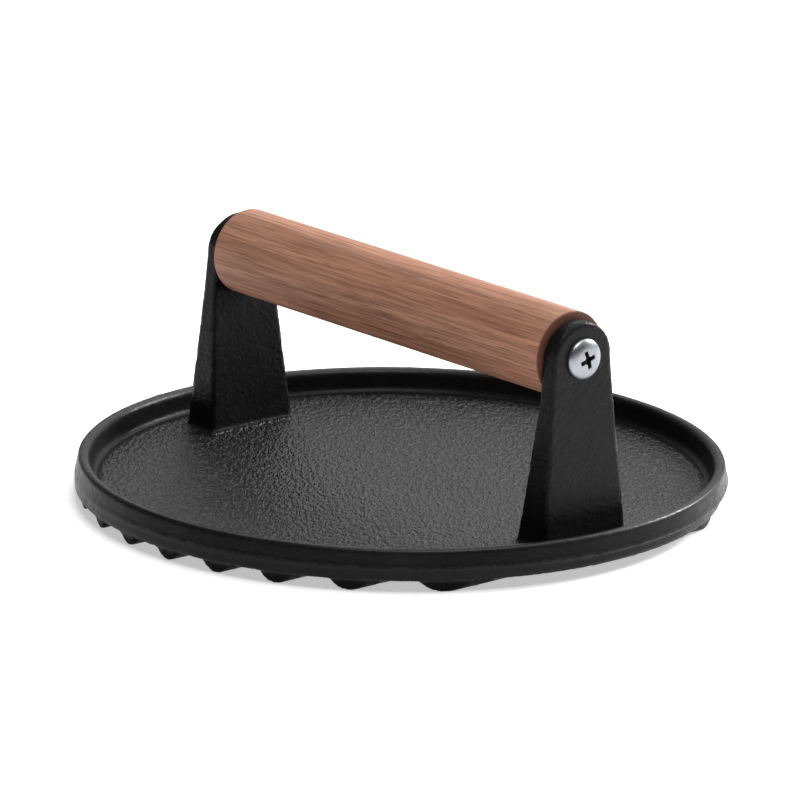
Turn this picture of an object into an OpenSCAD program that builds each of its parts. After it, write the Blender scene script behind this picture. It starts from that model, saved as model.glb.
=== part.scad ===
/* [Plate] */
// Greatest diameter of the round plate, at the mould's parting line
plate_d = 190; // [150:1:260]
// Height of the plate's flat underside above the ribs' resting faces
underside_z = 3.5; // [2.5:0.1:6]
// Thickness of the plate's floor
floor_t = 2.5; // [2.4:0.1:5]
// Height of the parting line, where the side band is widest
parting_z = 7; // [6.5:0.1:8.5]
// Height of the rim's rounded top
rim_z = 13.1; // [12:0.1:18]
// Radial draft of the side band above the parting line
draft_above = 1; // [0.5:0.1:2.5]
// Radial step in from the upper half of the band to the lower half at the parting line
parting_step = 0.9; // [0.3:0.1:1.5]
// Radial draft of the side band below the parting line
draft_below = 0.2; // [0.2:0.1:3]
// Sideways mismatch of the lower mould half along x
mismatch_x = -0.8; // [-0.8:0.1:0.8]
// Sideways mismatch of the lower mould half along y
mismatch_y = -0.4; // [-0.6:0.1:0.6]
// Width of the rim's rounded top
rim_w = 3.4; // [2:0.1:4]
// Radial slope of the dish wall, from the rim in to the floor
wall_slope = 0.9; // [0.5:0.1:4]

/* [Underside ribs] */
// Number of parallel ribs
rib_count = 10; // [6:2:10]
// Distance from one rib to the next
rib_pitch = 17.7; // [14:0.1:18.2]
// Offset of the rib pattern from the plate's centre along x
rib_offset = -1.9; // [-3:0.1:3]
// Width of a rib where it leaves the underside
rib_base_w = 8.8; // [5.6:0.1:11]
// Width of the flat that a rib rests on
rib_land_w = 1.2; // [1:0.1:3]
// Distance that the ribs' ends stop short of the side band's lower edge
rib_end_inset = 0.4; // [0.1:0.1:10]
// Radial slope of the ribs' ends
rib_end_slope = 0.2; // [0.1:0.1:4]

/* [Posts] */
// Height of the grip's axis above the resting faces
axis_z = 59; // [50:0.5:75]
// Distance between the posts' inner faces at the grip
post_gap = 143.8; // [110:0.1:146]
// Thickness of a post's head, around the screw
head_t = 5.1; // [3.5:0.1:6]
// Thickness of a post at its foot
foot_t = 12.2; // [9:0.1:14]
// Distance that a post's inner face leans in at the foot
foot_lean = 4.3; // [1:0.1:5]
// Half width of a post at its foot
foot_half_w = 15.3; // [12:0.1:18]
// Half width of a post's head at the grip's axis, which is also its top radius
head_r = 10.6; // [8:0.1:12]
// Width of the chamfer that joins a post to the floor
foot_fillet = 1.5; // [1:0.1:5]

/* [Grip] */
// Diameter of the round wooden grip
grip_d = 25.4; // [20:0.1:32]
// Gap between the grip and each post
end_gap = 0.3; // [0.2:0.05:0.6]
// Radial gap between the grip's bore and the sleeve that it turns on
running_gap = 0.08; // [0.03:0.01:0.1]
// Size of the chamfer around the grip's ends
grip_chamfer = 0.5; // [0.2:0.1:2]

/* [Fasteners] */
// Outer diameter of the sleeve inside the grip
sleeve_d = 10; // [8:0.5:12]
// Nominal thread diameter of the screws
thread_d = 6; // [4:1:6]
// Thread pitch
thread_pitch = 1; // [0.8:0.05:1.25]
// Diameter of the screw head
screw_head_d = 12; // [8:0.1:13]
// Height of the screw head
screw_head_h = 2.4; // [2:0.1:4]
// Length of a screw under its head
screw_length = 20; // [12:1:30]
// Clearance hole for a screw through a post
post_hole_d = 6.6; // [6.2:0.1:7]
// Width of a slot of the cross recess
recess_w = 1.2; // [0.8:0.1:1.4]
// Diameter of the cross recess across its wings
recess_d = 5.3; // [4:0.1:6]
// Depth of the cross recess
recess_depth = 1.6; // [1:0.1:2]
// Angle at which the right screw's recess came to rest
recess_turn_right = 18; // [0:1:89]
// Angle at which the left screw's recess came to rest
recess_turn_left = 52; // [0:1:89]

/* [Hidden] */
$fn = 96;
plate_r = plate_d / 2;
floor_z = underside_z + floor_t;
rim_outer_r = plate_r - draft_above;
rim_inner_r = rim_outer_r - rim_w;
drag_r = plate_r - parting_step;
under_r = drag_r - draft_below;
rim_round = rim_w / 2;
rim_steps = 8;
wall_foot_r = rim_inner_r - wall_slope;
// The lower half's ring starts outside the dish wall, by more than the mould halves' mismatch
ring_inner_r = wall_foot_r + 1.1;
dish_fillet = 1.2;
dish_fillet_lean = 0.15;
under_edge = 0.6;
rib_end_r = under_r - rib_end_inset;
rib_flank_z = underside_z * 0.3;
rib_root_z = underside_z * 0.85;
rib_root_w = 0.5;
head_in_x = post_gap / 2;
head_out_x = head_in_x + head_t;
foot_in_x = head_in_x - foot_lean;
foot_out_x = foot_in_x + foot_t;
foot_fillet_lean = 0.2;
face_margin = 1.5;
// The inner face is upright from here up, so that the grip's end meets a square face
square_z = axis_z - grip_d / 2 - face_margin;
// The outer face is upright from here up, so that the screw's head has a flat seat
seat_z = axis_z - screw_head_d / 2 - face_margin;
post_top_z = axis_z + head_r;
sink = 1;
grip_length = post_gap - 2 * end_gap;
grip_bore_d = sleeve_d + 2 * running_gap;
tap_d = thread_d - thread_pitch;
tap_runout = 6;
tap_depth = screw_length - head_t + tap_runout;
thread_gap = 0.05;
ring_w = thread_pitch / 2;
ring_start = 0.6;
plain_shank = 2;
ring_count = floor((screw_length - plain_shank) / thread_pitch);
head_skirt = 0.15;

// Ring of half-round points that caps the rim, from its outside to its inside
function rim_arc() = [
    for (i = [0:rim_steps])
        let (a = 180 * i / rim_steps)
        [rim_inner_r + rim_round + rim_round * cos(a), rim_z - rim_round + rim_round * sin(a)]
];

// Disc, band and ribs below the parting line, which the lower mould half forms
module lower_half() {
    translate([mismatch_x, mismatch_y, 0]) {
        rotate_extrude()
            polygon([
                [0, underside_z],
                [under_r - under_edge, underside_z],
                [under_r, underside_z + under_edge],
                [drag_r, parting_z],
                [ring_inner_r, parting_z],
                [ring_inner_r, floor_z - sink],
                [0, floor_z - sink]
            ]);
        ribs();
    }
}

// Floor, band and rim above the parting line
module upper_half() {
    rotate_extrude()
        polygon(concat(
            [
                [0, underside_z + sink],
                [under_r - 2 * sink, underside_z + sink],
                [under_r - 2 * sink, parting_z],
                [plate_r, parting_z]
            ],
            rim_arc(),
            [
                [wall_foot_r + dish_fillet_lean, floor_z + dish_fillet],
                [wall_foot_r - dish_fillet, floor_z],
                [0, floor_z]
            ]
        ));
}

// Outline of one rib across its length, sunk a little into the plate
module rib_outline() {
    shoulder = (rib_base_w + rib_land_w) / 4;
    polygon([
        [-rib_land_w / 2, 0],
        [rib_land_w / 2, 0],
        [shoulder, rib_flank_z],
        [rib_base_w / 2 - rib_root_w, rib_root_z],
        [rib_base_w / 2, underside_z],
        [rib_base_w / 2, underside_z + sink],
        [-rib_base_w / 2, underside_z + sink],
        [-rib_base_w / 2, underside_z],
        [rib_root_w - rib_base_w / 2, rib_root_z],
        [-shoulder, rib_flank_z]
    ]);
}

module ribs() {
    half = plate_r;
    intersection() {
        union() {
            for (i = [0:rib_count - 1])
                translate([rib_offset + (i - (rib_count - 1) / 2) * rib_pitch, half, 0])
                    rotate([90, 0, 0])
                        linear_extrude(2 * half)
                            rib_outline();
        }
        cylinder(h = underside_z + sink,
                 r1 = rib_end_r - rib_end_slope,
                 r2 = rib_end_r + rib_end_slope * sink / underside_z);
    }
}

// Side outline of the right post in x and z, with the chamfers at its foot
module post_side_outline() {
    polygon([
        [foot_in_x - foot_fillet, floor_z - sink],
        [foot_in_x - foot_fillet, floor_z],
        [foot_in_x + foot_fillet_lean, floor_z + foot_fillet],
        [head_in_x, square_z],
        [head_in_x, post_top_z + sink],
        [head_out_x, post_top_z + sink],
        [head_out_x, seat_z],
        [foot_out_x - foot_fillet_lean, floor_z + foot_fillet],
        [foot_out_x + foot_fillet, floor_z],
        [foot_out_x + foot_fillet, floor_z - sink]
    ]);
}

// Front outline of a post in y and z
module post_front_outline() {
    polygon([
        [-foot_half_w - foot_fillet, floor_z - sink],
        [foot_half_w + foot_fillet, floor_z - sink],
        [foot_half_w + foot_fillet, floor_z],
        [foot_half_w - foot_fillet_lean, floor_z + foot_fillet],
        [head_r, axis_z],
        [-head_r, axis_z],
        [foot_fillet_lean - foot_half_w, floor_z + foot_fillet],
        [-foot_half_w - foot_fillet, floor_z]
    ]);
    translate([0, axis_z])
        circle(head_r);
}

module post() {
    difference() {
        intersection() {
            translate([0, foot_half_w + foot_fillet + sink, 0])
                rotate([90, 0, 0])
                    linear_extrude(2 * (foot_half_w + foot_fillet + sink))
                        post_side_outline();
            translate([foot_in_x - foot_fillet - sink, 0, 0])
                rotate([90, 0, 90])
                    linear_extrude(foot_t + foot_lean + 2 * foot_fillet + 2 * sink)
                        post_front_outline();
        }
        translate([head_in_x - sink, 0, axis_z])
            rotate([0, 90, 0])
                cylinder(h = head_t + 2 * sink, d = post_hole_d);
    }
}

// Plate, rim, ribs and both posts, poured in one piece
module press_casting() {
    color([0.13, 0.13, 0.13])
        union() {
            lower_half();
            upper_half();
            post();
            mirror([1, 0, 0])
                post();
        }
}

module wooden_grip() {
    color([0.6, 0.42, 0.33])
        translate([-grip_length / 2, 0, axis_z])
            rotate([0, 90, 0])
                rotate_extrude()
                    polygon([
                        [grip_bore_d / 2, 0],
                        [grip_d / 2 - grip_chamfer, 0],
                        [grip_d / 2, grip_chamfer],
                        [grip_d / 2, grip_length - grip_chamfer],
                        [grip_d / 2 - grip_chamfer, grip_length],
                        [grip_bore_d / 2, grip_length]
                    ]);
}

// Hole along +z that takes a screw's shank, with a groove around each of its thread rings
module tapped_hole() {
    translate([0, 0, -sink])
        cylinder(h = tap_depth + sink, d = tap_d + 2 * thread_gap);
    for (i = [0:ring_count - 1])
        translate([0, 0, screw_length - head_t - ring_start - i * thread_pitch - ring_w - thread_gap])
            cylinder(h = ring_w + 2 * thread_gap, d = thread_d + 2 * thread_gap);
}

// Steel spacer that the posts are clamped against, tapped at both ends
module handle_sleeve() {
    color([0.62, 0.62, 0.64])
        translate([-post_gap / 2, 0, axis_z])
            rotate([0, 90, 0])
                difference() {
                    cylinder(h = post_gap, d = sleeve_d);
                    tapped_hole();
                    translate([0, 0, post_gap])
                        mirror([0, 0, 1])
                            tapped_hole();
                }
}

// Domed head with a cross recess, then a shank with thread rings, along +x from the head
module screw(recess_turn) {
    dome_steps = 6;
    difference() {
        union() {
            rotate([0, 90, 0])
                rotate_extrude()
                    polygon(concat(
                        [
                            [0, 0],
                            [screw_head_d / 2, 0],
                            [screw_head_d / 2, screw_head_h * head_skirt]
                        ],
                        [
                            for (i = [1:dome_steps])
                                let (a = 90 * i / dome_steps)
                                [
                                    screw_head_d / 2 * cos(a),
                                    screw_head_h * (head_skirt + (1 - head_skirt) * sin(a))
                                ]
                        ]
                    ));
            translate([-screw_length, 0, 0])
                rotate([0, 90, 0])
                    cylinder(h = screw_length + sink / 2, d = tap_d);
            for (i = [0:ring_count - 1])
                translate([-screw_length + ring_start + i * thread_pitch, 0, 0])
                    rotate([0, 90, 0])
                        cylinder(h = ring_w, d = thread_d);
        }
        for (turn = [0, 90])
            translate([screw_head_h - recess_depth, 0, 0])
                rotate([recess_turn + turn, 0, 0])
                    translate([0, -recess_d / 2, -recess_w / 2])
                        cube([recess_depth + sink, recess_d, recess_w]);
    }
}

module screw_right() {
    color([0.8, 0.8, 0.82])
        translate([head_out_x, 0, axis_z])
            screw(recess_turn_right);
}

module screw_left() {
    color([0.8, 0.8, 0.82])
        mirror([1, 0, 0])
            translate([head_out_x, 0, axis_z])
                screw(recess_turn_left);
}

press_casting();
wooden_grip();
handle_sleeve();
screw_right();
screw_left();
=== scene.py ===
import math

import bpy
import numpy as np
from mathutils import Matrix, Vector


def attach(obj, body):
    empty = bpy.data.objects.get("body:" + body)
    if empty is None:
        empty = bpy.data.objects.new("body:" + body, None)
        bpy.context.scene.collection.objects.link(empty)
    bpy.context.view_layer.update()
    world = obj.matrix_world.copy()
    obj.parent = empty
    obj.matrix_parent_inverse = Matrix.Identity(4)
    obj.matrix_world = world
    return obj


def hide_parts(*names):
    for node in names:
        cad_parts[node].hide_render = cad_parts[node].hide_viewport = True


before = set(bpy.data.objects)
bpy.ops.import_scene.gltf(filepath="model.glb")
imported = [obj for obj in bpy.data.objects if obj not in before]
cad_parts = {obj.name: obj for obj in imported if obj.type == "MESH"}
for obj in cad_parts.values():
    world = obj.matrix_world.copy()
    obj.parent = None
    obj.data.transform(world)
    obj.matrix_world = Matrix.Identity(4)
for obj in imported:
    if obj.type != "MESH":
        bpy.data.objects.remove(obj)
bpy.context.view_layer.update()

MM = 0.001


# ---------------------------------------------------------------- field helpers, all in mm

def round_and(a, b, r):
    """Distance to what both fields hold, with the shared edge rounded to radius r."""
    return np.minimum(-r, np.maximum(a, b)) + np.hypot(np.maximum(r + a, 0), np.maximum(r + b, 0))


def round_or(a, b, r):
    """Distance to what either field holds, with a fillet of radius r where they meet."""
    return np.maximum(r, np.minimum(a, b)) - np.hypot(np.maximum(r - a, 0), np.maximum(r - b, 0))


def plane(u, v, p0, p1):
    """Signed distance from the line through p0 and p1, positive to the right of the way from p0 to p1."""
    du, dv = p1[0] - p0[0], p1[1] - p0[1]
    n = math.hypot(du, dv)
    return ((u - p0[0]) * dv - (v - p0[1]) * du) / n


class Lattice:
    """Smooth seeded noise in -1..1 with features about one cell across."""

    def __init__(self, seed, size=32):
        self.n = size
        self.table = np.random.default_rng(seed).uniform(-1, 1, (size, size, size))

    def __call__(self, p, cell):
        q = np.asarray(p) / cell
        i = np.floor(q).astype(int)
        f = q - i
        f = f * f * (3 - 2 * f)
        i0, i1 = i % self.n, (i + 1) % self.n
        t = self.table
        total = 0
        for a, ia in ((0, i0[:, 0]), (1, i1[:, 0])):
            for b, ib in ((0, i0[:, 1]), (1, i1[:, 1])):
                for c, ic in ((0, i0[:, 2]), (1, i1[:, 2])):
                    w = (f[:, 0] if a else 1 - f[:, 0])
                    w = w * (f[:, 1] if b else 1 - f[:, 1])
                    w = w * (f[:, 2] if c else 1 - f[:, 2])
                    total = total + w * t[ia, ib, ic]
        return total


# ---------------------------------------------------------------- the casting's shape, in mm

# upper half: floor, sloping wall and lip
PARTING_Z = 7.0
RIM_Z = 12.9
FLOOR_Z = 6.0
UNDER_Z = 3.5
BAND_R = 94.85
LIP_OUT_R = 93.8
LIP_IN_R = 90.45
LIP_IN_DROP = 1.2
LIP_OUT_ROUND = 0.8
LIP_IN_ROUND = 1.6
CROWN_R = 93
CROWN_FALL = 0.05
WALL_FOOT_R = 89.7
DISH_FILLET = 1.7
UNDERCUT_R = 92
PARTING_ROUND = 0.45
# raised bead just above the parting line
BEAD_H = 0.16
BEAD_RISE = 0.55
BEAD_SPREAD = 0.45
# lower half: band and ribs, shifted sideways against the upper one
DRAG_R = 94.1
DRAG_HOLLOW_R = 91
UNDER_ROUND = 0.7
STEP_ROUND = 0.15
MISMATCH = (-0.8, -0.4)
RIB_PITCH = 17.7
RIB_X0 = -1.9
RIB_COUNT = 10
RIB_HALF_W = 4.4
RIB_FLAT = 0.25
RIB_POWER = 2.15
RIB_INSET = 1.3
RIB_TILT = 0.1
RIB_ROOT = 0.3
RIB_LIFT = 0.02
RIB_STEEPEST = 1.6
RIB_END_ROUND = 0.6
RIB_FILLET = 0.5
# posts and the screws' holes
AXIS_Z = 59.0
HEAD_R = 10.6
FOOT_HALF_W = 15.3
HEAD_IN_X = 71.9
HEAD_OUT_X = 77.0
FOOT_IN_X = 67.6
FOOT_OUT_X = 79.75
FOOT_FILLET = 1.5
HEAD_EASE = 1.003
SQUARE_Z = 44.8
SEAT_Z = 51.5
POST_EDGE = 0.5
TOP_EDGE = 0.9
TOP_EDGE_FROM = 5
TOP_EDGE_OVER = 4
POSTS_FROM_X = 60
SCREW_HOLE_R = 3.3


def upper_half(r, z):
    """Floor, sloping wall and rounded lip."""
    cone = plane(r, z, (BAND_R, PARTING_Z), (LIP_OUT_R, RIM_Z))
    cone = cone - BEAD_H * np.exp(-((z - PARTING_Z - BEAD_RISE) / BEAD_SPREAD) ** 2)
    crown = (z - RIM_Z) + CROWN_FALL * np.abs(r - CROWN_R)
    half = round_and(cone, crown, LIP_OUT_ROUND)
    wall = plane(r, z, (WALL_FOOT_R, FLOOR_Z), (LIP_IN_R, RIM_Z - LIP_IN_DROP))
    half = round_and(half, -round_and(wall, FLOOR_Z - z, DISH_FILLET), LIP_IN_ROUND)
    cut = np.minimum(PARTING_Z - z, np.maximum(UNDER_Z + 1 - z, r - UNDERCUT_R))
    return round_and(half, cut, PARTING_ROUND)


def ribs(x, r, z):
    """Arched ribs under the plate, around the lower half's own axis."""
    middle = (RIB_COUNT - 1) / 2
    i = np.clip(np.round((x - RIB_X0) / RIB_PITCH + middle), 0, RIB_COUNT - 1)
    dx = np.abs(x - RIB_X0 - (i - middle) * RIB_PITCH)
    height, half = UNDER_Z + RIB_ROOT, RIB_HALF_W - RIB_FLAT
    u = np.clip((dx - RIB_FLAT) / half, 0, RIB_STEEPEST)
    crest = RIB_LIFT + height * u ** RIB_POWER
    slope = height * RIB_POWER * u ** (RIB_POWER - 1) / half
    rib = np.maximum((crest - z) / np.sqrt(1 + slope ** 2), dx - RIB_HALF_W - 1)
    rib = round_and(rib, r - DRAG_R + RIB_INSET + (UNDER_Z - z) * RIB_TILT, RIB_END_ROUND)
    return np.maximum(rib, z - UNDER_Z - 1)


def lower_half(x, y, z):
    """Band and ribs below the parting line, around the lower half's own axis."""
    r = np.hypot(x, y)
    band = plane(r, z, (DRAG_R, UNDER_Z), (DRAG_R, PARTING_Z))
    half = round_and(band, UNDER_Z - z, UNDER_ROUND)
    half = round_and(half, z - PARTING_Z, STEP_ROUND)
    half = np.maximum(half, -np.maximum(r - DRAG_HOLLOW_R, FLOOR_Z - 1 - z))
    return round_or(half, ribs(x, r, z), RIB_FILLET)


def posts(ax, y, dz, z):
    """Both posts. ax is the distance from the middle plane, dz the height above the grip's axis."""
    inner = np.minimum(-plane(ax, z, (FOOT_IN_X, FLOOR_Z), (HEAD_IN_X, SQUARE_Z)), HEAD_IN_X - ax)
    outer = np.minimum(plane(ax, z, (FOOT_OUT_X, FLOOR_Z), (HEAD_OUT_X, SEAT_Z)), ax - HEAD_OUT_X)
    slant = math.atan((FOOT_HALF_W - HEAD_R * HEAD_EASE) / (AXIS_Z - FLOOR_Z))
    ay = np.abs(y)
    side = ay * math.cos(slant) + dz * math.sin(slant) - HEAD_R
    front = np.where(np.arctan2(dz, ay) > slant, np.hypot(ay, dz) - HEAD_R, side)
    edge = POST_EDGE + TOP_EDGE * np.clip((dz - TOP_EDGE_FROM) / TOP_EDGE_OVER, 0, 1)
    post = round_and(np.maximum(inner, outer), front, edge)
    return np.maximum(post, FLOOR_Z - 2 - z)


def casting_field(p):
    """Distance in mm to the casting's skin, negative inside."""
    x, y, z = p[:, 0], p[:, 1], p[:, 2]
    ax, dz = np.abs(x), z - AXIS_Z
    lower = lower_half(x - MISMATCH[0], y - MISMATCH[1], z)
    d = np.minimum(upper_half(np.hypot(x, y), z), lower)
    d = round_or(d, posts(ax, y, dz, z), FOOT_FILLET)
    bore = SCREW_HOLE_R - np.hypot(y, dz)
    return np.where(ax > POSTS_FROM_X, np.maximum(d, bore), d)


def gradient(field, p, step=0.05):
    g = np.empty_like(p)
    for k in range(3):
        e = np.zeros(3)
        e[k] = step
        g[:, k] = (field(p + e) - field(p - e)) / (2 * step)
    return g


def settle(field, p, rounds=6, most=0.5):
    """Moves points onto the field's zero surface."""
    for _ in range(rounds):
        d = field(p)
        g = gradient(field, p)
        g2 = np.maximum((g * g).sum(1), 0.2)
        p = p - np.clip(d / g2, -most, most)[:, None] * g
    return p


def new_mesh_object(name, verts, faces):
    mesh = bpy.data.meshes.new(name)
    mesh.from_pydata([tuple(v) for v in verts], [], faces)
    mesh.validate()
    mesh.update()
    mesh.polygons.foreach_set("use_smooth", [True] * len(mesh.polygons))
    obj = bpy.data.objects.new(name, mesh)
    bpy.context.scene.collection.objects.link(obj)
    return obj


def coordinates(mesh):
    co = np.empty(len(mesh.vertices) * 3, np.float32)
    mesh.vertices.foreach_get("co", co)
    return co.reshape(-1, 3).astype(float)


VOXEL = 0.9
OUTER_LIMIT_R = 94.97
# each layer of the cast skin: seed, cell size and height
WAVES = (11, 9.0, 0.05)
COARSE_GRAIN = (12, 3.7, 0.02)
FINE_GRAIN = (13, 2.1, 0.032)
PIMPLES = (14, 2.3, 0.5)
PIMPLE_FROM = 0.66
SKIN_SINK = 0.03
# the grain is full on the dish floor and this much of it elsewhere
GRAIN_ELSEWHERE = 0.2
DISH_TOP_Z = FLOOR_Z + 0.9
DISH_EDGE_R = 88.5
# the seats of the screw heads stay smooth
SEAT_R = 6


def skin_layer(p, layer):
    seed, cell, _ = layer
    return Lattice(seed)(p, cell)


def make_casting():
    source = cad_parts["press_casting"]
    work = source.copy()
    work.data = source.data.copy()
    work.parent = None
    bpy.context.scene.collection.objects.link(work)
    weld = work.modifiers.new("weld", "WELD")
    weld.merge_threshold = 1e-5
    remesh = work.modifiers.new("remesh", "REMESH")
    remesh.mode = "VOXEL"
    remesh.voxel_size = VOXEL * MM
    deps = bpy.context.evaluated_depsgraph_get()
    mesh = bpy.data.meshes.new_from_object(work.evaluated_get(deps))
    bpy.data.objects.remove(work)
    p = settle(casting_field, coordinates(mesh) / MM)
    # sand-cast skin: shallow waves, grains and a few pimples
    n = gradient(casting_field, p)
    n /= np.maximum(np.linalg.norm(n, axis=1), 1e-6)[:, None]
    r = np.hypot(p[:, 0], p[:, 1])
    floor = np.clip((DISH_TOP_Z - p[:, 2]) / 0.6, 0, 1) * np.clip((DISH_EDGE_R - r) / 1.5, 0, 1)
    coarse = GRAIN_ELSEWHERE + (1 - GRAIN_ELSEWHERE) * floor
    skin = (WAVES[2] * skin_layer(p, WAVES) + COARSE_GRAIN[2] * coarse * skin_layer(p, COARSE_GRAIN)
            + FINE_GRAIN[2] * coarse * skin_layer(p, FINE_GRAIN))
    pimples = np.clip(skin_layer(p, PIMPLES) - PIMPLE_FROM, 0, 1) * PIMPLES[2]
    calm = np.clip((np.hypot(p[:, 1], p[:, 2] - AXIS_Z) - SEAT_R) / 1.5, 0, 1)
    calm = np.where(np.abs(p[:, 0]) > POSTS_FROM_X, calm, 1)
    p = p + n * ((skin + pimples - SKIN_SINK) * calm)[:, None]
    # nothing below the rest plane or outside the CAD part
    p[:, 2] = np.maximum(p[:, 2], 0.0)
    r = np.hypot(p[:, 0], p[:, 1])
    p[:, :2] *= np.minimum(1, OUTER_LIMIT_R / np.maximum(r, 1))[:, None]
    mesh.vertices.foreach_set("co", (p * MM).astype(np.float32).ravel())
    mesh.name = "cast_plate"
    mesh.materials.clear()
    mesh.polygons.foreach_set("material_index", [0] * len(mesh.polygons))
    mesh.polygons.foreach_set("use_smooth", [True] * len(mesh.polygons))
    mesh.update()
    obj = bpy.data.objects.new("cast_plate", mesh)
    bpy.context.scene.collection.objects.link(obj)
    return obj


# ---------------------------------------------------------------- turned pieces

def lathe(profile, segments, closed):
    """Rings around the x axis. profile is a list of (x, radius) in mm; a radius of 0 is one point."""
    verts, rows = [], []
    for x, r in profile:
        if r <= 0:
            rows.append([len(verts)] * segments)
            verts.append((x, 0, 0))
        else:
            rows.append(list(range(len(verts), len(verts) + segments)))
            for k in range(segments):
                a = 2 * math.pi * k / segments
                verts.append((x, r * math.cos(a), r * math.sin(a)))
    faces = []
    pairs = list(zip(rows, rows[1:]))
    if closed:
        pairs.append((rows[-1], rows[0]))
    for low, high in pairs:
        for k in range(segments):
            m = (k + 1) % segments
            face = [low[k], low[m], high[m], high[k]]
            face = [v for j, v in enumerate(face) if v not in face[:j]]
            if len(face) > 2:
                faces.append(face)
    return np.array(verts, float), faces


GRIP_HALF = 71.6
GRIP_R = 12.62
GRIP_BORE_R = 5.08
END_ROUND = 0.6
END_STEPS = 5
END_RINGS = (6.5, 8.5, 10.5)
GRIP_SEGMENTS = 144


def make_grip():
    profile = [(-GRIP_HALF, r) for r in (GRIP_BORE_R, *END_RINGS, GRIP_R - 0.75)]
    arc = []
    for k in range(END_STEPS + 1):
        a = math.pi / 2 * k / END_STEPS
        arc.append((END_ROUND * (1 - math.cos(a)), GRIP_R - END_ROUND + END_ROUND * math.sin(a)))
    profile += [(-GRIP_HALF + x, r) for x, r in arc[1:]]
    profile += [(x, GRIP_R) for x in np.linspace(-GRIP_HALF + 1.2, GRIP_HALF - 1.2, 120)]
    profile += [(GRIP_HALF - x, r) for x, r in arc[::-1]]
    profile += [(GRIP_HALF, r) for r in (*END_RINGS[::-1], GRIP_BORE_R)]
    profile += [(x, GRIP_BORE_R) for x in np.linspace(GRIP_HALF - 10, -GRIP_HALF + 10, 15)]
    verts, faces = lathe(profile, GRIP_SEGMENTS, True)
    # slightly uneven turning, along the grain
    radial = verts.copy()
    radial[:, 0] *= 0.06
    around = Lattice(21)(radial, 3.0) * 0.035 + Lattice(22)(radial * [1, 1, 1], 1.2) * 0.02
    r = np.hypot(verts[:, 1], verts[:, 2])
    outside = np.clip((r - 11.5) / 1.0, 0, 1)
    verts[:, 1:] *= (1 + (around - 0.01) * outside / np.maximum(r, 1))[:, None]
    verts[:, 2] += AXIS_Z
    return new_mesh_object("turned_grip", verts * MM, faces)


SCREW_SEGMENTS = 240
SCREW_HEAD_R = 5.98
SCREW_SKIRT = 0.55
SCREW_HEAD_H = 2.36
SCREW_DOME = 0.82
SHANK_END_X = -20.0
THREAD_START_X = -19.4
THREAD_COUNT = 18
THREAD_PITCH = 1.0
THREAD_ROOT_R = 2.5
THREAD_CREST_R = 2.98
FACE_RINGS_FROM_R = 3.1
FACE_RINGS = 44
RECESS_HALF_W = 0.6
RECESS_REACH = 2.7
RECESS_DEPTH = 1.5
# faces sunk further than this take the near-black material: painted shade in the cross recess
RECESS_FACE_FROM = 0.35


def screw_recess(q, w):
    """Depth of the cross recess at offsets q and w from the screw's axis, along its two wings."""
    a, b = np.abs(q), np.abs(w)
    along, across = np.maximum(a, b), np.minimum(a, b)
    width = RECESS_HALF_W + 0.3 * np.clip(1.5 - along, 0, 1) ** 2
    inside = np.clip((width + 0.1 - across) / 0.2, 0, 1)
    inside = inside * inside * (3 - 2 * inside)
    taper = np.clip((RECESS_REACH - along) / 0.5, 0, 1) ** 0.8
    return RECESS_DEPTH * inside * taper


def make_screw(name, side, turn):
    """A screw whose seat is on a post's outer face. side is 1 or -1; turn is in degrees."""
    # threaded shank under the head, as rings
    profile = [(SHANK_END_X, 0), (SHANK_END_X, 2.2), (SHANK_END_X + 0.3, 2.48)]
    x = THREAD_START_X
    for _ in range(THREAD_COUNT):
        profile += [(x, THREAD_ROOT_R), (x + 0.12, THREAD_CREST_R), (x + 0.38, THREAD_CREST_R),
                    (x + 0.5, THREAD_ROOT_R)]
        x += THREAD_PITCH
    profile += [(-0.25, THREAD_ROOT_R), (0.0, 2.75), (0.0, 4.4), (0.0, SCREW_HEAD_R - 0.2),
                (0.06, SCREW_HEAD_R - 0.06), (0.2, SCREW_HEAD_R), (SCREW_SKIRT - 0.35, SCREW_HEAD_R)]
    steps = []
    for k in range(1, 14):
        a = math.pi / 2 * k / 14
        r = SCREW_HEAD_R * math.cos(a) ** SCREW_DOME
        if r < FACE_RINGS_FROM_R:
            break
        steps.append((SCREW_SKIRT - 0.2 + (SCREW_HEAD_H - SCREW_SKIRT + 0.2) * math.sin(a), r))
    profile += steps
    top_x, top_r = steps[-1]
    rings = np.linspace(top_r - 0.08, 0, FACE_RINGS)
    profile += [(top_x + (SCREW_HEAD_H - top_x) * (1 - (r / top_r) ** 2), max(r, 0)) for r in rings]
    verts, faces = lathe(profile, SCREW_SEGMENTS, False)
    a = math.radians(turn)
    y, z = verts[:, 1], verts[:, 2]
    q, w = y * math.cos(a) + z * math.sin(a), -y * math.sin(a) + z * math.cos(a)
    depth = np.where(verts[:, 0] > 0.5, screw_recess(q, w), 0)
    verts[:, 0] -= depth
    deep = [sum(depth[v] for v in f) / len(f) > RECESS_FACE_FROM for f in faces]
    verts[:, 0] += HEAD_OUT_X + 0.02
    verts[:, 2] += AXIS_Z
    if side < 0:
        verts[:, 0] *= -1
        faces = [f[::-1] for f in faces]
    obj = new_mesh_object(name, verts * MM, faces)
    # the sunk faces get the second material, painted shade in the recess
    obj.data.polygons.foreach_set("material_index", [int(d) for d in deep])
    return obj


# ---------------------------------------------------------------- materials

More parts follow.
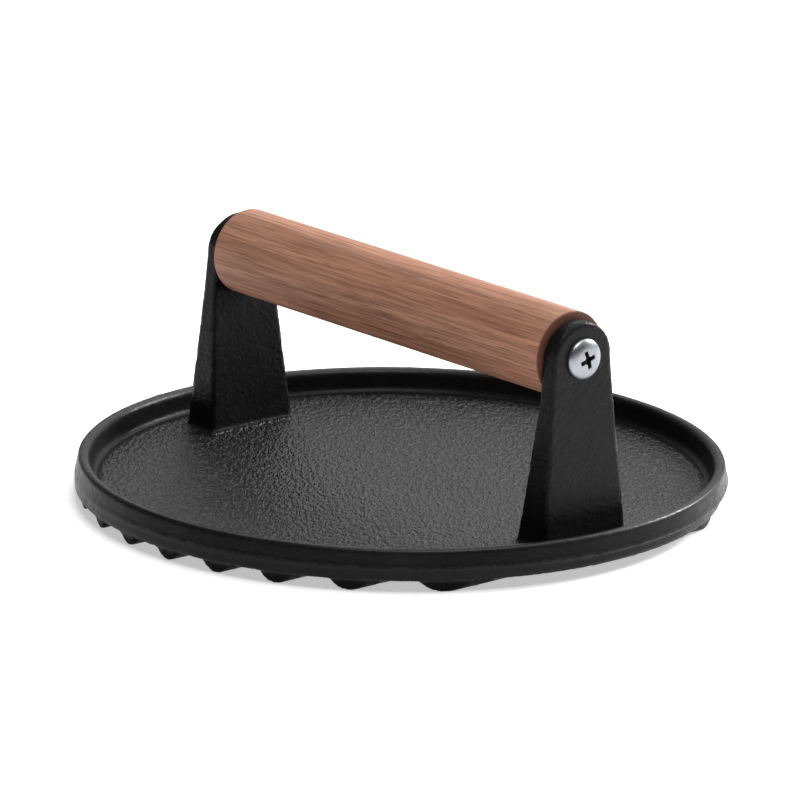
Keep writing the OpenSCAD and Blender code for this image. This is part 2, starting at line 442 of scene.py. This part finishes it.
class Nodes:
    """Short names for building a material's node tree."""

    def __init__(self, name):
        self.mat = bpy.data.materials.new(name)
        self.mat.use_nodes = True
        self.tree = self.mat.node_tree
        self.shader = self.tree.nodes["Principled BSDF"]
        self.coord = self.tree.nodes.new("ShaderNodeTexCoord").outputs["Object"]

    def link(self, a, b):
        self.tree.links.new(a, b)

    def scaled(self, scale, source=None):
        node = self.tree.nodes.new("ShaderNodeMapping")
        self.link(source or self.coord, node.inputs["Vector"])
        node.inputs["Scale"].default_value = scale
        return node.outputs["Vector"]

    def turned(self, angle):
        node = self.tree.nodes.new("ShaderNodeMapping")
        self.link(self.coord, node.inputs["Vector"])
        node.inputs["Rotation"].default_value = (0, 0, -angle)
        return node.outputs["Vector"]

    def noise(self, scale, detail=2.0, rough=0.5, vector=None, distort=0.0):
        node = self.tree.nodes.new("ShaderNodeTexNoise")
        self.link(vector or self.coord, node.inputs["Vector"])
        node.inputs["Scale"].default_value = scale
        node.inputs["Detail"].default_value = detail
        node.inputs["Roughness"].default_value = rough
        node.inputs["Distortion"].default_value = distort
        return node.outputs["Fac"]

    def ramp(self, value, stops):
        node = self.tree.nodes.new("ShaderNodeValToRGB")
        self.link(value, node.inputs["Fac"])
        elements = node.color_ramp.elements
        while len(elements) < len(stops):
            elements.new(0.5)
        for element, (position, colour) in zip(elements, stops):
            element.position = position
            if not hasattr(colour, "__len__"):
                colour = (colour, colour, colour)
            element.color = (*colour, 1)
        return node.outputs["Color"]

    def across(self, length, full, stops):
        """Ramp over a length. The stops are in mm, and full mm of it fill the ramp."""
        return self.ramp(self.math("MULTIPLY", length, 1 / (full * MM)),
                         [(place / full, value) for place, value in stops])

    def math(self, kind, a, b=None):
        node = self.tree.nodes.new("ShaderNodeMath")
        node.operation = kind
        for k, value in enumerate((a, b)):
            if value is None:
                continue
            if isinstance(value, (int, float)):
                node.inputs[k].default_value = value
            else:
                self.link(value, node.inputs[k])
        return node.outputs[0]

    def mix(self, fac, a, b):
        node = self.tree.nodes.new("ShaderNodeMix")
        node.data_type = "RGBA"
        for key, value in ((0, fac), (6, a), (7, b)):
            if isinstance(value, (int, float)):
                node.inputs[key].default_value = value if key == 0 else (value, value, value, 1)
            elif hasattr(value, "__len__"):
                node.inputs[key].default_value = (*value, 1)
            else:
                self.link(value, node.inputs[key])
        return node.outputs[2]

    def dish_masks(self):
        """Four masks: inside the rim, on the plate's floor there, on the underside, and on the rim's top."""
        split = self.tree.nodes.new("ShaderNodeSeparateXYZ")
        self.link(self.coord, split.inputs[0])
        x, y, z = split.outputs
        square = self.math("ADD", self.math("MULTIPLY", x, x), self.math("MULTIPLY", y, y))
        r = self.math("SQRT", square)
        low = self.across(z, 10, [(6.2, 1.0), (6.7, 0.0)])
        inside = self.across(r, 100, [(87.0, 1.0), (88.5, 0.0)])
        under = self.across(z, 10, [(3.1, 1.0), (3.6, 0.0)])
        high = self.across(z, 20, [(11.7, 0.0), (12.4, 1.0)])
        crest = self.math("MULTIPLY", high, self.math("SUBTRACT", 1, inside))
        return inside, self.math("MULTIPLY", low, inside), under, crest

    def bump(self, height, strength, distance):
        node = self.tree.nodes.new("ShaderNodeBump")
        node.inputs["Strength"].default_value = strength
        node.inputs["Distance"].default_value = distance
        self.link(height, node.inputs["Height"])
        return node.outputs["Normal"]


GRAIN_TURN = math.radians(49)
GRAIN_STRETCH = (1, 0.45, 1)


def cast_iron():
    m = Nodes("cast_iron")
    grain = m.noise(820, 2, 0.6, m.scaled(GRAIN_STRETCH, m.turned(GRAIN_TURN)))
    clots = m.noise(330, 2, 0.5)
    sheen = m.noise(45, 3, 0.55)
    inside, dish, under, crest = m.dish_masks()
    colour = m.ramp(sheen, [(0.3, (0.005, 0.005, 0.0052)), (0.7, (0.009, 0.009, 0.0092))])
    specks = m.math("MULTIPLY", m.ramp(grain, [(0.5, 0.0), (0.7, 0.7)]), dish)
    colour = m.mix(specks, colour, (0.05, 0.05, 0.05))
    # painted shade: the underside and the ribs below it take a darker colour than the rest of the iron
    colour = m.mix(under, colour, (0.004, 0.004, 0.004))
    # the dish and the rubbed top of the rim shine more than the band, the posts and the underside
    gloss = m.math("ADD", m.math("MULTIPLY", crest, 0.4), m.math("MULTIPLY", dish, 0.5))
    gloss = m.math("ADD", gloss, m.math("MULTIPLY", under, -0.2))
    m.link(m.math("ADD", gloss, 0.32), m.shader.inputs["Specular IOR Level"])
    m.link(colour, m.shader.inputs["Base Color"])
    rough = m.ramp(m.math("ADD", m.math("MULTIPLY", clots, 0.5), m.math("MULTIPLY", grain, 0.5)),
                   [(0.35, 0.3), (0.65, 0.44)])
    m.link(rough, m.shader.inputs["Roughness"])
    height = m.math("ADD", grain, m.math("MULTIPLY", clots, 0.35))
    strength = m.math("ADD", m.math("MULTIPLY", dish, 0.75), m.math("MULTIPLY", inside, 0.17))
    strength = m.math("ADD", strength, 0.08)
    m.link(m.bump(m.math("MULTIPLY", height, strength), 1.0, 0.001), m.shader.inputs["Normal"])
    m.shader.inputs["IOR"].default_value = 1.26
    return m.mat


ALONG_GRAIN = (0.03, 1, 1)


def beech():
    m = Nodes("beech")
    along = m.scaled(ALONG_GRAIN)
    fine = m.noise(1500, 3, 0.6, along, 0.3)
    bands = m.noise(300, 3, 0.5, along, 0.6)
    patches = m.noise(28, 2, 0.5, m.scaled((0.35, 1, 1)))
    pores = m.noise(2600, 1, 0.5, m.scaled(ALONG_GRAIN))
    colour = m.ramp(bands, [(0.3, (0.33, 0.137, 0.08)), (0.7, (0.55, 0.275, 0.175))])
    colour = m.mix(m.ramp(fine, [(0.36, 0.9), (0.58, 0.0)]), colour, (0.2, 0.075, 0.042))
    colour = m.mix(m.ramp(patches, [(0.35, 0.0), (0.7, 0.35)]), colour, (0.5, 0.3, 0.21))
    colour = m.mix(m.ramp(pores, [(0.64, 0.0), (0.74, 0.5)]), colour, (0.1, 0.04, 0.028))
    split = m.tree.nodes.new("ShaderNodeSeparateXYZ")
    m.link(m.coord, split.inputs[0])
    # the end grain is darker
    end = m.across(m.math("ABSOLUTE", split.outputs[0]), 100, [(71.25, 0.0), (71.45, 0.95)])
    colour = m.mix(end, colour, (0.085, 0.026, 0.014))
    m.link(colour, m.shader.inputs["Base Color"])
    m.link(m.ramp(fine, [(0.3, 0.72), (0.7, 0.6)]), m.shader.inputs["Roughness"])
    height = m.math("SUBTRACT", m.math("MULTIPLY", fine, 0.5), m.ramp(pores, [(0.62, 0.0), (0.7, 0.6)]))
    m.link(m.bump(height, 0.35, 0.0002), m.shader.inputs["Normal"])
    m.shader.inputs["IOR"].default_value = 1.38
    return m.mat


def steel(name, colour, rough, scratch_scale):
    m = Nodes(name)
    marks = m.noise(900, 3, 0.6, m.scaled(scratch_scale))
    cloud = m.noise(160, 2)
    low = tuple(0.82 * c for c in colour)
    m.link(m.mix(m.ramp(cloud, [(0.35, 0.0), (0.7, 1.0)]), low, colour), m.shader.inputs["Base Color"])
    m.link(m.ramp(marks, [(0.3, rough - 0.06), (0.7, rough + 0.1)]), m.shader.inputs["Roughness"])
    m.link(m.bump(marks, 0.15, 0.00008), m.shader.inputs["Normal"])
    m.shader.inputs["Metallic"].default_value = 1.0
    return m.mat


# ---------------------------------------------------------------- the object

iron = cast_iron()
wood = beech()
screw_finish = steel("screw_steel", (0.32, 0.33, 0.35), 0.33, (1, 1, 1))
# near-black steel that paints shade into the screws' cross recesses
recess_painted_shade = steel("screw_recess", (0.03, 0.03, 0.035), 0.6, (1, 1, 1))
sleeve_finish = steel("sleeve_steel", (0.5, 0.5, 0.52), 0.38, (0.1, 1, 1))

plate = make_casting()
plate.data.materials.append(iron)
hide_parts("press_casting")
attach(plate, "press")

grip = make_grip()
grip.data.materials.append(wood)
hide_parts("wooden_grip")
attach(grip, "grip")

for name, side, turn in (("screw_right", 1, 18), ("screw_left", -1, 52)):
    screw = make_screw("pan_" + name, side, turn)
    screw.data.materials.append(screw_finish)
    screw.data.materials.append(recess_painted_shade)
    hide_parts(name)
    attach(screw, "press")

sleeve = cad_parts["handle_sleeve"]
sleeve.data.materials.clear()
sleeve.data.materials.append(sleeve_finish)


# ---------------------------------------------------------------- floor, light and camera

FLOOR_HALF = 6.0
FLOOR_ALBEDO = 0.93
FLOOR_GLOW = 0.5


def make_floor():
    """White sheet with a glow of its own, so that the gaps between the ribs read white."""
    mesh = bpy.data.meshes.new("studio_floor")
    corners = [(sx * FLOOR_HALF, sy * FLOOR_HALF, 0) for sx, sy in ((-1, -1), (1, -1), (1, 1), (-1, 1))]
    mesh.from_pydata(corners, [], [(0, 1, 2, 3)])
    obj = bpy.data.objects.new("studio_floor", mesh)
    bpy.context.scene.collection.objects.link(obj)
    m = Nodes("studio_paper")
    m.shader.inputs["Base Color"].default_value = (FLOOR_ALBEDO, FLOOR_ALBEDO, FLOOR_ALBEDO, 1)
    m.shader.inputs["Roughness"].default_value = 0.9
    m.shader.inputs["Emission Color"].default_value = (1, 1, 1, 1)
    m.shader.inputs["Emission Strength"].default_value = FLOOR_GLOW
    mesh.materials.append(m.mat)


def soft_light(name, place, target, width, height, power):
    light = bpy.data.lights.new(name, "AREA")
    light.shape = "RECTANGLE"
    light.size, light.size_y = width, height
    light.energy = power
    obj = bpy.data.objects.new(name, light)
    obj.location = place
    way = Vector(target) - Vector(place)
    obj.rotation_euler = way.to_track_quat("-Z", "Y").to_euler()
    bpy.context.scene.collection.objects.link(obj)


WORLD_BRIGHT_WAY = (-0.2, 0.97, 0.0)
WORLD_RAMP = ((0.0, 0.04), (0.9, 0.8))


def studio_world():
    """Dim in front of the object and bright low down behind it."""
    world = bpy.data.worlds.new("studio")
    world.use_nodes = True
    tree = world.node_tree
    coord = tree.nodes.new("ShaderNodeTexCoord")
    dot = tree.nodes.new("ShaderNodeVectorMath")
    dot.operation = "DOT_PRODUCT"
    dot.inputs[1].default_value = WORLD_BRIGHT_WAY
    tree.links.new(coord.outputs["Generated"], dot.inputs[0])
    ramp = tree.nodes.new("ShaderNodeValToRGB")
    for element, (position, grey) in zip(ramp.color_ramp.elements, WORLD_RAMP):
        element.position = position
        element.color = (grey, grey, grey, 1)
    tree.links.new(dot.outputs["Value"], ramp.inputs["Fac"])
    background = tree.nodes["Background"]
    tree.links.new(ramp.outputs["Color"], background.inputs["Color"])
    background.inputs["Strength"].default_value = 1.0
    bpy.context.scene.world = world


make_floor()
studio_world()

# camera: direction and roll, then aim, distance, offsets and lens
AZ, EL, ROLL = math.radians(49.0448), math.radians(16.0830), math.radians(0.9718)
AIM_Z = 0.0300
CAMERA_DISTANCE = 2.16098
SHIFT_RIGHT = 0.000790
SHIFT_UP = 0.000670
LENS = 335.84

back = Vector((math.sin(AZ) * math.cos(EL), -math.cos(AZ) * math.cos(EL), math.sin(EL)))
right = Vector((math.cos(AZ), math.sin(AZ), 0))
up = back.cross(right)
right_r = right * math.cos(ROLL) + up * math.sin(ROLL)
up_r = up * math.cos(ROLL) - right * math.sin(ROLL)
place = Vector((0, 0, AIM_Z)) + back * CAMERA_DISTANCE - right_r * SHIFT_RIGHT - up_r * SHIFT_UP
cam_data = bpy.data.cameras.new("camera")
cam_data.sensor_width = 36
cam_data.lens = LENS
cam_data.clip_start = 0.1
cam_data.clip_end = 50
cam = bpy.data.objects.new("camera", cam_data)
cam.matrix_world = Matrix((
    (right_r.x, up_r.x, back.x, place.x),
    (right_r.y, up_r.y, back.y, place.y),
    (right_r.z, up_r.z, back.z, place.z),
    (0, 0, 0, 1)))
bpy.context.scene.collection.objects.link(cam)
bpy.context.scene.camera = cam

soft_light("key", (-0.25, 0.75, 1.2), (0, 0, 0), 1.6, 1.3, 12)
soft_light("back_right", (0.25, 1.3, 0.72), (0, 0, 0.02), 0.5, 0.4, 24)
soft_light("front_top", (0.55, -0.2, 1.4), (0, 0, 0.04), 0.9, 0.9, 13)
bpy.context.scene.view_settings.view_transform = "Standard"
